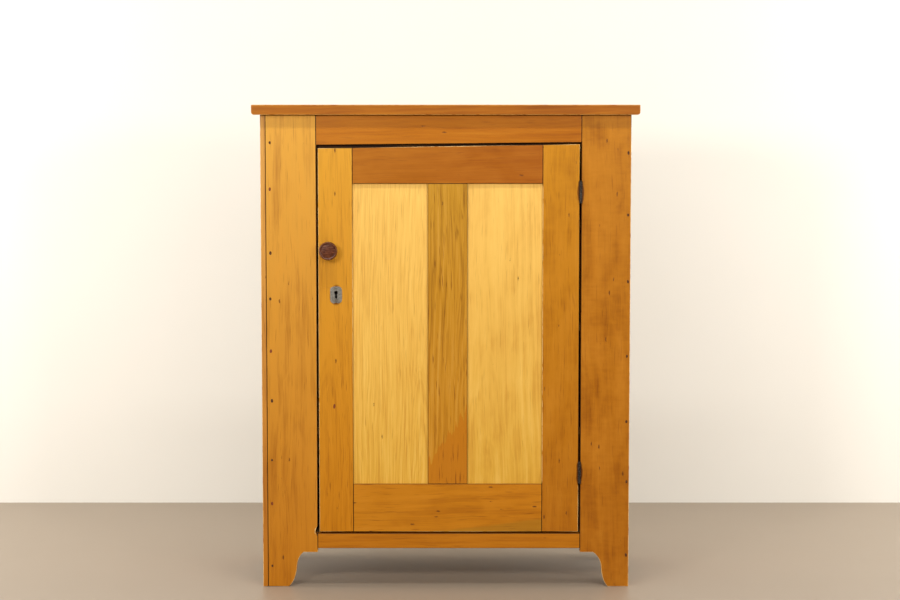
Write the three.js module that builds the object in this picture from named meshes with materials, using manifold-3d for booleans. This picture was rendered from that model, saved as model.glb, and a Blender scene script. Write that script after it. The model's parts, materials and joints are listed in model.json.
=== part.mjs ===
// A farmhouse pantry cupboard: a boarded case behind a nailed face frame, with one
// framed and panelled door on two butt hinges. A turned knob works a wooden turn
// latch behind the door, and a small rim lock sits below it.
//
// Millimetres, +Z up, standing on z = 0. The cupboard is laid out from the front of
// its face frame, which is y = 0, with the back at +y. The finished group is then
// moved so that its origin is the bottom centre of the whole cupboard.

import * as THREE from "three";
import { mergeVertices } from "three/addons/utils/BufferGeometryUtils.js";
import Module from "manifold-3d";

const wasm = await Module();
wasm.setup();

// ---- Driving dimensions -----------------------------------------------------------

// Case
const bodyWidth = 1000;
const bodyDepth = 430; // front of the face frame to the back of the back boards
const bodyHeight = 1288; // floor to the underside of the top board
const topThickness = 27;
const topOverhang = 22; // past both sides and past the front
const topEndRounding = 8; // worn lower corners at both ends of the top board
const sideThickness = 14;
const backThickness = 12;
const backBoardCount = 5;
const backLap = 8; // how far one back board laps the next
const boardGap = 0.5; // between neighbouring back boards

// Face frame
const frameThickness = 22; // the door is as thick
const leftStileWidth = 136; // stands beside the left side board
const rightStileWidth = 133.5; // covers the right side board's front edge
const topRailHeight = 74; // at its hinge end
const topRailTaper = 7; // how much deeper the rail is at its lock end
const bottomRailHeight = 41;
const bottomRailUnderside = 106;

// Feet, measured in from the outer edge of the body
const footArchHeight = 95;
const footWaistHeight = 56.5;
const leftFoot = { toe: 70, waist: 92.5, brow: 111 };
const rightFoot = { toe: 57, waist: 75, brow: 98 };
const sideFootLength = 72; // front and back foot of each side board
const sideArchRounding = 46;

// Shelves and their fixings
const shelfThickness = 19;
const bottomShelfThickness = 22;
const shelfCount = 3; // between the bottom shelf and the top
const shelfFrontClearance = 4;
const cleatThickness = 19;
const cleatHeight = 28;
const cleatBackGap = 8;
const postSize = 24; // square post behind the left stile
const topCleatHeight = 40;
const doorStopThickness = 12;
const upperStopHeight = 64;
const upperStopLap = 16; // hangs this far below the top rail's lower edge
const upperStopReach = 40; // past the opening on each side
const lowerStopHeight = 19;
const lowerStopInset = 20; // from each side of the opening
const doorStopGap = 0.5;

// Door
const doorGap = 5; // at both sides, at the bottom, and at the top by the hinges
const doorSag = 4; // extra gap at the top corner by the lock
const lockStileWidth = 93;
const hingeStileWidth = 99.5;
const doorTopRailHeight = 106; // at its hinge end
const doorBottomRailHeight = 132;
const muntinWidth = 107;
const grooveWidth = 8;
const grooveDepth = 8;
const grooveSetback = 7; // behind the front face of the door
const panelEdgeGap = 1; // room for the panel to move in its groove
const tenonLength = 42;
const tenonShoulder = 24;
const joineryGap = 0.3; // between a tenon or panel and the groove or mortise around it

// Knob and turn latch
const knobRadius = 25.25;
const knobReach = 38; // in front of the door
const knobInset = 28.5; // from the door's edge
const knobDrop = 275; // below the door's top corner by the lock
const shankRadius = 7;
const shankSquare = 11; // squared end that carries the finger
const shankGap = 0.5;
const fingerGap = 1; // behind the door and the face frame
const fingerThickness = 12;
const fingerWidth = 24;
const fingerLength = 60; // from the shank to the rounded tip
const pegRadius = 2;
const pegLength = 26;
const shankTail = 4.5; // beyond the peg

// Escutcheon and rim lock
const keyholeInset = 48; // from the door's edge
const keyholeDrop = 121; // below the knob
const escutcheonWidth = 32;
const escutcheonHeight = 46;
const escutcheonThickness = 1.2;
const escutcheonRelief = 0.8; // raised field around the keyhole
const escutcheonRim = 4.5;
const keyholeRise = 6; // centre of the round part above the escutcheon's centre
const keyholeRadius = 5;
const keyholeSlotWidth = 5.2;
const keyholeFootRadius = 3.6;
const keyholeFootDrop = 7;
const keyholePlay = 0.8; // the hole in the wood is larger than the plate's by this
const pinRadius = 1.1;
const pinLength = 11;
const lockCaseWidth = 72;
const lockCaseHeight = 64;
const lockCaseDepth = 13;
const lockSheet = 1.6;
const lockEdgeInset = 1; // case edge behind the door's edge
const boltHeight = 12;
const boltThickness = 6;
const boltLength = 56;
const boltRise = 14; // above the keyhole's round part
const boltGap = 0.4;

// Hinges
const hingeHeight = 58;
const hingeMiddleKnuckle = 21.5;
const hingeKnuckleGap = 0.4;
const hingeBarrelRadius = 4.3;
const hingePinRadius = 2;
const hingeBarrelSink = 0.3; // how far the barrel reaches into the gap beside the door
const hingeLeafGap = 1; // between the two leaves when the door is closed
const hingeLeafDepth = 19; // into the gap, from the front face
const hingeDropFromDoorTop = 128.5; // centre of the upper hinge
const hingeRiseFromDoorBottom = 163; // centre of the lower hinge
const screwSpacing = 34;
const screwSetback = 11; // behind the front face
const screwHeadRadius = 3.4;
const screwShankRadius = 1.7;
const screwLength = 22;
const metalGap = 0.3;

// ---- Places worked out from the driving dimensions --------------------------------

const leftEdge = -bodyWidth / 2;
const rightEdge = bodyWidth / 2;
const innerLeft = leftEdge + sideThickness;
const innerRight = rightEdge - sideThickness;
const backInner = bodyDepth - backThickness;
const bodyTop = bodyHeight;

const openingLeft = innerLeft + leftStileWidth;
const openingRight = rightEdge - rightStileWidth;
const openingBottom = bottomRailUnderside + bottomRailHeight;
const openingTopRight = bodyTop - topRailHeight;
const openingTopLeft = openingTopRight - topRailTaper;

const doorLeft = openingLeft + doorGap;
const doorRight = openingRight - doorGap;
const doorBottom = openingBottom + doorGap;
const doorTopRight = openingTopRight - doorGap;
const doorTopLeft = openingTopLeft - doorGap - doorSag;
const lockStileEdge = doorLeft + lockStileWidth;
const hingeStileEdge = doorRight - hingeStileWidth;
const panelTop = doorTopRight - doorTopRailHeight;
const panelBottom = doorBottom + doorBottomRailHeight;
const muntinCentre = (lockStileEdge + hingeStileEdge) / 2;
const muntinLeft = muntinCentre - muntinWidth / 2;
const muntinRight = muntinCentre + muntinWidth / 2;

const knobX = doorLeft + knobInset;
const knobZ = doorTopLeft - knobDrop;
const keyholeX = doorLeft + keyholeInset;
const escutcheonZ = knobZ - keyholeDrop;
const keyholeZ = escutcheonZ + keyholeRise;

const fingerFront = frameThickness + fingerGap;
const fingerBack = fingerFront + fingerThickness;
const pegY = fingerBack + joineryGap + pegRadius;
const shankEnd = pegY + pegRadius + shankTail;

const postBack = frameThickness + postSize;
const lockCaseBack = frameThickness + lockCaseDepth;
const shelfFront = Math.max(postBack, lockCaseBack, shankEnd) + shelfFrontClearance;
const shelfPitch = (bodyTop - openingBottom) / (shelfCount + 1);

const hingeLeafThickness = (doorGap - hingeLeafGap) / 2;
const hingeX = (doorRight + openingRight) / 2;
const hingeY = hingeBarrelSink - hingeBarrelRadius;
const upperHingeZ = doorTopRight - hingeDropFromDoorTop;
const lowerHingeZ = doorBottom + hingeRiseFromDoorBottom;

const frontReach = Math.max(knobReach, topOverhang);

// ---- Finishes ---------------------------------------------------------------------

const wood = (color) => new THREE.MeshStandardMaterial({ color, roughness: 0.45, metalness: 0 });
const metal = (color) => new THREE.MeshStandardMaterial({ color, roughness: 0.5, metalness: 0.9 });

const honeyMaple = wood("#d99230");
const amberMaple = wood("#be7118");
const orangeMaple = wood("#bb6a12");
const goldenStile = wood("#d79029");
const palePanel = wood("#efbc55");
const brownMuntin = wood("#c4882b");
const insidePine = wood("#c39a62");
const darkBackPine = wood("#a8834f");
const walnut = wood("#683820");
const darkIron = metal("#4a423c");
const greyIron = metal("#8a8478");

// ---- Shaping helpers --------------------------------------------------------------

// An axis-aligned block. Its corners are set exactly, so blocks can lie face to face.
function block([x0, x1], [y0, y1], [z0, z1]) {
  const geometry = new THREE.BoxGeometry(1, 1, 1);
  const place = geometry.attributes.position;
  for (let i = 0; i < place.count; i += 1) {
    const x = place.getX(i) < 0 ? x0 : x1;
    const y = place.getY(i) < 0 ? y0 : y1;
    const z = place.getZ(i) < 0 ? z0 : z1;
    place.setXYZ(i, x, y, z);
  }
  return geometry;
}

// Extrudes an outline. "front" outlines are drawn in x and z and run along y,
// "side" outlines are drawn in y and z and run along x, "plan" ones run up z.
function slab(facing, outline, [from, to]) {
  const geometry = new THREE.ExtrudeGeometry(outline, {
    depth: 1,
    bevelEnabled: false,
    curveSegments: 10,
  });
  const place = geometry.attributes.position;
  for (let i = 0; i < place.count; i += 1) {
    const u = place.getX(i);
    const v = place.getY(i);
    const far = place.getZ(i) > 0.5;
    if (facing === "front") place.setXYZ(i, u, far ? from : to, v);
    if (facing === "side") place.setXYZ(i, far ? to : from, u, v);
    if (facing === "plan") place.setXYZ(i, u, v, far ? to : from);
  }
  return geometry;
}

// A closed outline through corner points.
function polygon(...points) {
  return new THREE.Shape(points.map(([u, v]) => new THREE.Vector2(u, v)));
}

// A solid of revolution about y, from [radius, y] pairs that start and end on the axis.
function turned(profile, segments = 24) {
  return new THREE.LatheGeometry(
    profile.map(([radius, y]) => new THREE.Vector2(radius, y)),
    segments,
  );
}

// A round bar along x, y or z, centred on the other two coordinates of "centre".
function bar(axis, [from, to], radius, centre, segments = 24) {
  const profile = [
    [0, from],
    [radius, from],
    [radius, to],
    [0, to],
  ];
  const geometry = turned(profile, segments);
  if (axis === "x") geometry.rotateZ(-Math.PI / 2);
  if (axis === "z") geometry.rotateX(Math.PI / 2);
  return geometry.translate(...centre);
}

function solidOf(geometry) {
  const bare = geometry.index ? geometry.toNonIndexed() : geometry.clone();
  bare.deleteAttribute("normal");
  bare.deleteAttribute("uv");
  const merged = mergeVertices(bare, 1e-4);
  return new wasm.Manifold(
    new wasm.Mesh({
      numProp: 3,
      vertProperties: merged.attributes.position.array,
      triVerts: Uint32Array.from(merged.index.array),
    }),
  );
}

function geometryOf(solid) {
  const mesh = solid.getMesh();
  const indexed = new THREE.BufferGeometry();
  indexed.setAttribute("position", new THREE.BufferAttribute(mesh.vertProperties, 3));
  indexed.setIndex(new THREE.BufferAttribute(mesh.triVerts, 1));
  const geometry = indexed.toNonIndexed();
  geometry.computeVertexNormals();
  return geometry;
}

function fuse(...geometries) {
  const [first, ...others] = geometries.map(solidOf);
  return geometryOf(others.reduce((whole, other) => whole.add(other), first));
}

function cut(geometry, ...tools) {
  return geometryOf(
    tools.map(solidOf).reduce((rest, tool) => rest.subtract(tool), solidOf(geometry)),
  );
}

// ---- The cupboard -----------------------------------------------------------------

const cupboard = new THREE.Group();
const carcass = new THREE.Group();
const door = new THREE.Group();
const latch = new THREE.Group();
cupboard.add(carcass, door);
door.add(latch);

function add(group, name, geometry, material) {
  const mesh = new THREE.Mesh(geometry, material);
  mesh.name = name;
  group.add(mesh);
}

// ---- Top board --------------------------------------------------------------------

function topBoard() {
  const left = leftEdge - topOverhang;
  const right = rightEdge + topOverhang;
  const low = bodyTop;
  const high = bodyTop + topThickness;
  const r = topEndRounding;
  const outline = new THREE.Shape();
  outline.moveTo(left + r, low);
  outline.lineTo(right - r, low);
  outline.absarc(right - r, low + r, r, -Math.PI / 2, 0);
  outline.lineTo(right, high);
  outline.lineTo(left, high);
  outline.lineTo(left, low + r);
  outline.absarc(left + r, low + r, r, Math.PI, Math.PI * 1.5);
  return slab("front", outline, [-topOverhang, bodyDepth]);
}

add(carcass, "top_board", topBoard(), orangeMaple);

// ---- Side boards ------------------------------------------------------------------

// A side board from its front edge to the back boards, with an arch between its feet.
function sideBoard(front, [x0, x1]) {
  const r = sideArchRounding;
  const archFront = front + sideFootLength;
  const archBack = backInner - sideFootLength;
  const outline = new THREE.Shape();
  outline.moveTo(front, 0);
  outline.lineTo(archFront, 0);
  outline.lineTo(archFront, footArchHeight - r);
  outline.absarc(archFront + r, footArchHeight - r, r, Math.PI, Math.PI / 2, true);
  outline.lineTo(archBack - r, footArchHeight);
  outline.absarc(archBack - r, footArchHeight - r, r, Math.PI / 2, 0, true);
  outline.lineTo(archBack, 0);
  outline.lineTo(backInner, 0);
  outline.lineTo(backInner, bodyTop);
  outline.lineTo(front, bodyTop);
  return slab("side", outline, [x0, x1]);
}

add(carcass, "left_side", sideBoard(0, [leftEdge, innerLeft]), honeyMaple);
add(carcass, "right_side", sideBoard(frameThickness, [innerRight, rightEdge]), amberMaple);

// ---- Face frame -------------------------------------------------------------------

// A front stile whose lower end is sawn to a scrolled foot. "inward" is +1 on the left
// stile and -1 on the right one, and foot sizes run inward from the body's outer edge.
function footedStile(outerX, innerX, bodyX, inward, foot) {
  const at = (distance) => bodyX + inward * distance;
  const waistZ = footWaistHeight;
  const browZ = footArchHeight;
  const outline = new THREE.Shape();
  outline.moveTo(outerX, 0);
  outline.lineTo(at(foot.toe), 0);
  outline.bezierCurveTo(
    at(foot.toe + 0.62 * (foot.waist - foot.toe)), waistZ * 0.21,
    at(foot.toe + 0.93 * (foot.waist - foot.toe)), waistZ * 0.53,
    at(foot.waist), waistZ,
  );
  outline.bezierCurveTo(
    at(foot.waist + 0.07 * (foot.brow - foot.waist)), waistZ + 0.46 * (browZ - waistZ),
    at(foot.waist + 0.5 * (foot.brow - foot.waist)), browZ - 0.16 * (browZ - waistZ),
    at(foot.brow), browZ,
  );
  outline.lineTo(innerX, browZ);
  outline.lineTo(innerX, bodyTop);
  outline.lineTo(outerX, bodyTop);
  return slab("front", outline, [0, frameThickness]);
}

const leftStile = footedStile(innerLeft, openingLeft, leftEdge, 1, leftFoot);
add(carcass, "left_front_stile", leftStile, honeyMaple);

const topRailOutline = polygon(
  [openingLeft, openingTopLeft],
  [openingRight, openingTopRight],
  [openingRight, bodyTop],
  [openingLeft, bodyTop],
);
add(carcass, "top_front_rail", slab("front", topRailOutline, [0, frameThickness]), orangeMaple);

const bottomRail = block(
  [openingLeft, openingRight],
  [0, frameThickness],
  [bottomRailUnderside, openingBottom],
);
add(carcass, "bottom_front_rail", bottomRail, orangeMaple);

// ---- Inside of the case -----------------------------------------------------------

const cornerPost = block(
  [innerLeft, innerLeft + postSize],
  [frameThickness, postBack],
  [openingBottom, bodyTop],
);
add(carcass, "left_corner_post", cornerPost, insidePine);

const bottomShelf = block(
  [innerLeft, innerRight],
  [frameThickness, backInner],
  [openingBottom - bottomShelfThickness, openingBottom],
);
add(carcass, "bottom_shelf", bottomShelf, insidePine);

// Each shelf rests on a cleat at each side.
function addCleats(shelfName, underside, front) {
  const depth = [front, backInner - cleatBackGap];
  const height = [underside - cleatHeight, underside];
  const left = block([innerLeft, innerLeft + cleatThickness], depth, height);
  const right = block([innerRight - cleatThickness, innerRight], depth, height);
  add(carcass, `left_${shelfName}_cleat`, left, insidePine);
  add(carcass, `right_${shelfName}_cleat`, right, insidePine);
}

addCleats("bottom_shelf", openingBottom - bottomShelfThickness, frameThickness);
["lower_shelf", "middle_shelf", "upper_shelf"].forEach((shelfName, index) => {
  const top = openingBottom + shelfPitch * (index + 1);
  const underside = top - shelfThickness;
  const shelf = block([innerLeft, innerRight], [shelfFront, backInner], [underside, top]);
  add(carcass, shelfName, shelf, insidePine);
  addCleats(shelfName, underside, shelfFront);
});

// Cleats that the top board is nailed to.
const topCleatDepth = [postBack, backInner - cleatBackGap];
const topCleatSpan = [bodyTop - topCleatHeight, bodyTop];
const leftTopCleat = block([innerLeft, innerLeft + cleatThickness], topCleatDepth, topCleatSpan);
const rightTopCleat = block([innerRight - cleatThickness, innerRight], topCleatDepth, topCleatSpan);
add(carcass, "left_top_cleat", leftTopCleat, insidePine);
add(carcass, "right_top_cleat", rightTopCleat, insidePine);

// Strips that the closed door comes up against.
const stopDepth = [
  frameThickness + doorStopGap,
  frameThickness + doorStopGap + doorStopThickness,
];
const upperStop = block(
  [openingLeft - upperStopReach, openingRight + upperStopReach],
  stopDepth,
  [openingTopLeft - upperStopLap, openingTopLeft - upperStopLap + upperStopHeight],
);
const lowerStop = block(
  [openingLeft + lowerStopInset, openingRight - lowerStopInset],
  stopDepth,
  [openingBottom, openingBottom + lowerStopHeight],
);
add(carcass, "upper_door_stop", upperStop, insidePine);
add(carcass, "lower_door_stop", lowerStop, insidePine);

// ---- Back boards ------------------------------------------------------------------

// Upright boards, rebated on opposite faces so that each laps the next.
function backBoard(index) {
  const pitch = bodyWidth / backBoardCount;
  const left = leftEdge + pitch * index;
  const right = left + pitch;
  const first = index === 0;
  const last = index === backBoardCount - 1;
  const half = backInner + backThickness / 2;
  const innerEnd = last ? right : right - boardGap;
  const outerStart = first ? left : left - backLap;
  const outerEnd = last ? right : right - backLap - boardGap;
  const outline = polygon(
    [left, backInner],
    [innerEnd, backInner],
    [innerEnd, half],
    [outerEnd, half],
    [outerEnd, bodyDepth],
    [outerStart, bodyDepth],
    [outerStart, half],
    [left, half],
  );
  return slab("plan", outline, [footArchHeight, bodyTop]);
}

for (let index = 0; index < backBoardCount; index += 1) {
  add(carcass, `back_board_${index + 1}`, backBoard(index), darkBackPine);
}

// ---- Hinges -----------------------------------------------------------------------

// A countersunk screw along y, with its head's flat face at y = 0. A clearance gives
// the hole that it goes in.
function screwShape(clearance) {
  const head = screwHeadRadius + clearance;
  const shank = screwShankRadius + clearance;
  const neck = hingeLeafThickness;
  const profile = [
    [0, -clearance],
    [head, -clearance],
    [head, 0],
    [shank, neck],
    [shank, screwLength - 4],
    [0, screwLength + clearance],
  ];
  return turned(profile, 16);
}

// Turns a shape that runs along +y to run toward -x or +x, and moves it to a screw's place.
function atScrew(geometry, side, x, z) {
  geometry.rotateZ((-side * Math.PI) / 2);
  return geometry.translate(x, screwSetback, z);
}

const screwHeights = (hingeZ) => [hingeZ + screwSpacing / 2, hingeZ - screwSpacing / 2];

// The face of each leaf that is seen when the hinge is open, where the screw heads lie.
const doorLeafFace = doorRight + hingeLeafThickness;
const frameLeafFace = openingRight - hingeLeafThickness;

const screwHoles = (side, leafFace) =>
  [upperHingeZ, lowerHingeZ]
    .flatMap(screwHeights)
    .map((z) => atScrew(screwShape(metalGap), side, leafFace, z));

// One leaf with its knuckles. The frame leaf carries the two end knuckles, and the door
// leaf carries the middle one.
function hingeLeaf(hingeZ, side) {
  const onFrame = side > 0;
  const half = hingeHeight / 2;
  const middle = hingeMiddleKnuckle / 2;
  const leafFace = onFrame ? frameLeafFace : doorLeafFace;
  const woodFace = onFrame ? openingRight : doorRight;
  const across = onFrame ? [leafFace, woodFace] : [woodFace, leafFace];
  const plate = block(across, [hingeY, hingeLeafDepth], [hingeZ - half, hingeZ + half]);
  const centre = [hingeX, hingeY, 0];
  const knuckle = (from, to, radius) => bar("z", [hingeZ + from, hingeZ + to], radius, centre);
  const ends = [
    [-half, -middle - hingeKnuckleGap],
    [middle + hingeKnuckleGap, half],
  ];
  const own = onFrame ? ends : [[-middle, middle]];
  const other = onFrame
    ? [[-middle - hingeKnuckleGap, middle + hingeKnuckleGap]]
    : [[-half - 1, -middle], [middle, half + 1]];
  const cleared = cut(
    plate,
    ...other.map(([from, to]) => knuckle(from, to, hingeBarrelRadius + hingeKnuckleGap)),
  );
  const joined = fuse(
    cleared,
    ...own.map(([from, to]) => knuckle(from, to, hingeBarrelRadius)),
  );
  const pinHole = knuckle(-half - 1, half + 1, hingePinRadius + metalGap);
  const holes = screwHeights(hingeZ).map((z) =>
    atScrew(screwShape(metalGap), side, leafFace, z),
  );
  return cut(joined, pinHole, ...holes);
}

// The pin has a low button at each end that keeps it in the barrel.
function hingePin(hingeZ) {
  const half = hingeHeight / 2 + metalGap;
  const button = hingePinRadius + 1.2;
  const profile = [
    [0, -half - 1.8],
    [button * 0.7, -half - 1.6],
    [button, -half - 0.8],
    [button, -half],
    [hingePinRadius, -half],
    [hingePinRadius, half],
    [button, half],
    [button, half + 0.8],
    [button * 0.7, half + 1.6],
    [0, half + 1.8],
  ];
  return turned(profile, 16).rotateX(Math.PI / 2).translate(hingeX, hingeY, hingeZ);
}

[
  ["upper", upperHingeZ],
  ["lower", lowerHingeZ],
].forEach(([place, hingeZ]) => {
  add(carcass, `${place}_hinge_frame_leaf`, hingeLeaf(hingeZ, 1), darkIron);
  add(carcass, `${place}_hinge_pin`, hingePin(hingeZ), darkIron);
  add(door, `${place}_hinge_door_leaf`, hingeLeaf(hingeZ, -1), darkIron);
  screwHeights(hingeZ).forEach((z, index) => {
    const frameScrew = atScrew(screwShape(0), 1, frameLeafFace, z);
    const doorScrew = atScrew(screwShape(0), -1, doorLeafFace, z);
    add(carcass, `${place}_hinge_frame_screw_${index + 1}`, frameScrew, darkIron);
    add(door, `${place}_hinge_door_screw_${index + 1}`, doorScrew, darkIron);
  });
});

const rightStile = footedStile(rightEdge, openingRight, rightEdge, -1, rightFoot);
const drilledRightStile = cut(rightStile, ...screwHoles(1, frameLeafFace));
add(carcass, "right_front_stile", drilledRightStile, amberMaple);

// ---- Door frame -------------------------------------------------------------------

const grooveFront = grooveSetback;
const grooveBack = grooveSetback + grooveWidth;
const doorDepth = [0, frameThickness];

// The door's top edge drops a little from the hinge side to the lock side.
function doorTopAt(x) {
  const share = (x - doorLeft) / (doorRight - doorLeft);
  return doorTopLeft + share * (doorTopRight - doorTopLeft);
}

// A tenon, or with a clearance the mortise that takes it.
function tenon([x0, x1], [z0, z1], clearance) {
  return block(
    [x0 - clearance, x1 + clearance],
    [grooveFront + joineryGap - clearance, grooveBack - joineryGap + clearance],
    [z0 + tenonShoulder - clearance, z1 - tenonShoulder + clearance],
  );
}

const bottomRailSpan = [doorBottom, panelBottom];
const topRailSpan = [panelTop, doorTopLeft];
const lockTenon = [lockStileEdge - tenonLength, lockStileEdge];
const hingeTenon = [hingeStileEdge, hingeStileEdge + tenonLength];

function doorStile([x0, x1], grooveAcross, tenonAcross) {
  const outline = polygon(
    [x0, doorBottom],
    [x1, doorBottom],
    [x1, doorTopAt(x1)],
    [x0, doorTopAt(x0)],
  );
  const groove = block(
    grooveAcross,
    [grooveFront, grooveBack],
    [panelBottom - grooveDepth, panelTop + grooveDepth],
  );
  return cut(
    slab("front", outline, doorDepth),
    groove,
    tenon(tenonAcross, bottomRailSpan, joineryGap),
    tenon(tenonAcross, topRailSpan, joineryGap),
  );
}

// The keyhole: a round part over a slot with a flared foot.
function keyholeTools(play, depth) {
  const slot = keyholeSlotWidth / 2 + play;
  const footZ = keyholeZ - keyholeRise - keyholeFootDrop;
  return [
    bar("y", depth, keyholeRadius + play, [keyholeX, 0, keyholeZ]),
    block([keyholeX - slot, keyholeX + slot], depth, [footZ, keyholeZ]),
    bar("y", depth, keyholeFootRadius + play, [keyholeX, 0, footZ]),
  ];
}

const pinPlaces = [
  ["upper", escutcheonZ + escutcheonHeight / 2 - 3.6],
  ["lower", escutcheonZ - escutcheonHeight / 2 + 3.6],
];
const pinHoles = pinPlaces.map(([, z]) =>
  bar("y", [-5, pinLength + metalGap], pinRadius + metalGap, [keyholeX, 0, z], 12),
);

const lockStile = cut(
  doorStile(
    [doorLeft, lockStileEdge],
    [lockStileEdge - grooveDepth, lockStileEdge + 1],
    lockTenon,
  ),
  bar("y", [-1, frameThickness + 1], shankRadius + shankGap, [knobX, 0, knobZ]),
  ...keyholeTools(keyholePlay, [-1, frameThickness + 1]),
  ...pinHoles,
);
add(door, "door_lock_stile", lockStile, goldenStile);

const hingeStile = cut(
  doorStile(
    [hingeStileEdge, doorRight],
    [hingeStileEdge - 1, hingeStileEdge + grooveDepth],
    hingeTenon,
  ),
  ...screwHoles(-1, doorLeafFace),
);
add(door, "door_hinge_stile", hingeStile, amberMaple);

// A rail with a tenon at each end and a groove along the edge that meets the panels.
function doorRail(outline, span, grooveHeight) {
  const whole = fuse(
    slab("front", outline, doorDepth),
    tenon([lockTenon[0], lockTenon[1] + 1], span, 0),
    tenon([hingeTenon[0] - 1, hingeTenon[1]], span, 0),
  );
  const groove = block(
    [lockStileEdge - 1, hingeStileEdge + 1],
    [grooveFront, grooveBack],
    grooveHeight,
  );
  return cut(whole, groove);
}

const topRailShape = polygon(
  [lockStileEdge, panelTop],
  [hingeStileEdge, panelTop],
  [hingeStileEdge, doorTopAt(hingeStileEdge)],
  [lockStileEdge, doorTopAt(lockStileEdge)],
);
const doorTopRail = doorRail(topRailShape, topRailSpan, [panelTop - 1, panelTop + grooveDepth]);
add(door, "door_top_rail", doorTopRail, orangeMaple);

const bottomRailShape = polygon(
  [lockStileEdge, doorBottom],
  [hingeStileEdge, doorBottom],
  [hingeStileEdge, panelBottom],
  [lockStileEdge, panelBottom],
);
const bottomGroove = [panelBottom - grooveDepth, panelBottom + 1];
const doorBottomRail = doorRail(bottomRailShape, bottomRailSpan, bottomGroove);
add(door, "door_bottom_rail", doorBottomRail, amberMaple);

// ---- Muntin and panels ------------------------------------------------------------

const tongueReach = grooveDepth - panelEdgeGap;
const tongueDepth = [grooveFront + joineryGap, grooveBack - joineryGap];

function muntin() {
  const piece = fuse(
    block([muntinLeft, muntinRight], doorDepth, [panelBottom, panelTop]),
    block(
      [muntinLeft + grooveDepth, muntinRight - grooveDepth],
      tongueDepth,
      [panelBottom - tongueReach, panelTop + tongueReach],
    ),
  );
  const grooveY = [grooveFront, grooveBack];
  const grooveZ = [panelBottom - 1, panelTop + 1];
  return cut(
    piece,
    block([muntinLeft - 1, muntinLeft + grooveDepth], grooveY, grooveZ),
    block([muntinRight - grooveDepth, muntinRight + 1], grooveY, grooveZ),
  );
}

add(door, "door_muntin", muntin(), brownMuntin);

function panel(fromX, toX) {
  return block(
    [fromX - tongueReach, toX + tongueReach],
    tongueDepth,
    [panelBottom - tongueReach, panelTop + tongueReach],
  );
}

add(door, "door_left_panel", panel(lockStileEdge, muntinLeft), palePanel);
add(door, "door_right_panel", panel(muntinRight, hingeStileEdge), palePanel);

// ---- Knob and turn latch ----------------------------------------------------------

// A mushroom knob turned in one piece with its shank.
function knob() {
  const r = knobRadius;
  const front = -knobReach;
  const profile = [
    [0, front],
    [r * 0.5, front + 0.3],
    [r * 0.68, front + 1],
    [r * 0.73, front + 1.8],
    [r * 0.79, front + 1],
    [r * 0.88, front + 1.3],
    [r * 0.96, front + 3.2],
    [r, front + 6],
    [r * 0.98, front + 9],
    [r * 0.9, front + 12],
    [r * 0.72, front + 15.5],
    [r * 0.52, front + 19],
    [r * 0.43, front + 23],
    [r * 0.41, front + 28],
    [r * 0.46, front + 32.5],
    [r * 0.56, front + 35.5],
    [r * 0.56, -0.5],
    [shankRadius, -0.5],
    [shankRadius, shankEnd],
    [0, shankEnd],
  ];
  const piece = turned(profile, 32).translate(knobX, 0, knobZ);
  const half = shankSquare / 2;
  const wide = r * 2;
  const squareFrom = fingerFront - joineryGap;
  const away = shankEnd + 1;
  const flats = [
    [[knobX - wide, knobX - half], [knobZ - wide, knobZ + wide]],
    [[knobX + half, knobX + wide], [knobZ - wide, knobZ + wide]],
    [[knobX - wide, knobX + wide], [knobZ - wide, knobZ - half]],
    [[knobX - wide, knobX + wide], [knobZ + half, knobZ + wide]],
  ].map(([acrossX, acrossZ]) => block(acrossX, [squareFrom, away], acrossZ));
  const pegHole = bar("x", [-wide, wide], pegRadius + metalGap, [knobX, pegY, knobZ], 16);
  return cut(piece, ...flats, pegHole);
}

add(latch, "knob", knob(), walnut);

// A flat wooden finger on the squared shank. It hangs down when the door is free.
function latchFinger() {
  const half = fingerWidth / 2;
  const tip = knobZ - fingerLength + half;
  const heel = knobZ + 6;
  const outline = new THREE.Shape();
  outline.moveTo(knobX - half, tip);
  outline.absarc(knobX, tip, half, Math.PI, Math.PI * 2);
  outline.lineTo(knobX + half, heel);
  outline.absarc(knobX, heel, half, 0, Math.PI);
  const hole = shankSquare / 2 + joineryGap;
  return cut(
    slab("front", outline, [fingerFront, fingerBack]),
    block(
      [knobX - hole, knobX + hole],
      [fingerFront - 1, fingerBack + 1],
      [knobZ - hole, knobZ + hole],
    ),
  );
}

add(latch, "latch_finger", latchFinger(), insidePine);

const peg = bar("x", [-pegLength / 2, pegLength / 2], pegRadius, [knobX, pegY, knobZ], 16);
add(latch, "latch_peg", peg, insidePine);

// ---- Escutcheon -------------------------------------------------------------------

// An oblong plate: straight sides, shoulders that narrow to each end, and a pair of
// lobes at each end with a nick between them.
function escutcheonOutline(inset) {
  const w = escutcheonWidth / 2 - inset;
  const h = escutcheonHeight / 2 - inset;
  const shoulder = h * 0.52;
  const lobe = w * 0.36;
  const outline = new THREE.Shape();
  const at = (u, v) => [keyholeX + u, escutcheonZ + v];
  outline.moveTo(...at(w, -shoulder));
  outline.lineTo(...at(w, shoulder));
  outline.quadraticCurveTo(...at(w, h * 0.86), ...at(lobe * 1.7, h * 0.94));
  outline.quadraticCurveTo(...at(lobe, h * 1.03), ...at(0, h * 0.96));
  outline.quadraticCurveTo(...at(-lobe, h * 1.03), ...at(-lobe * 1.7, h * 0.94));
  outline.quadraticCurveTo(...at(-w, h * 0.86), ...at(-w, shoulder));
  outline.lineTo(...at(-w, -shoulder));
  outline.quadraticCurveTo(...at(-w, -h * 0.86), ...at(-lobe * 1.7, -h * 0.96));
  outline.quadraticCurveTo(...at(-lobe, -h * 1.06), ...at(0, -h * 0.9));
  outline.quadraticCurveTo(...at(lobe, -h * 1.06), ...at(lobe * 1.7, -h * 0.96));
  outline.quadraticCurveTo(...at(w, -h * 0.86), ...at(w, -shoulder));
  return outline;
}

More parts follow.
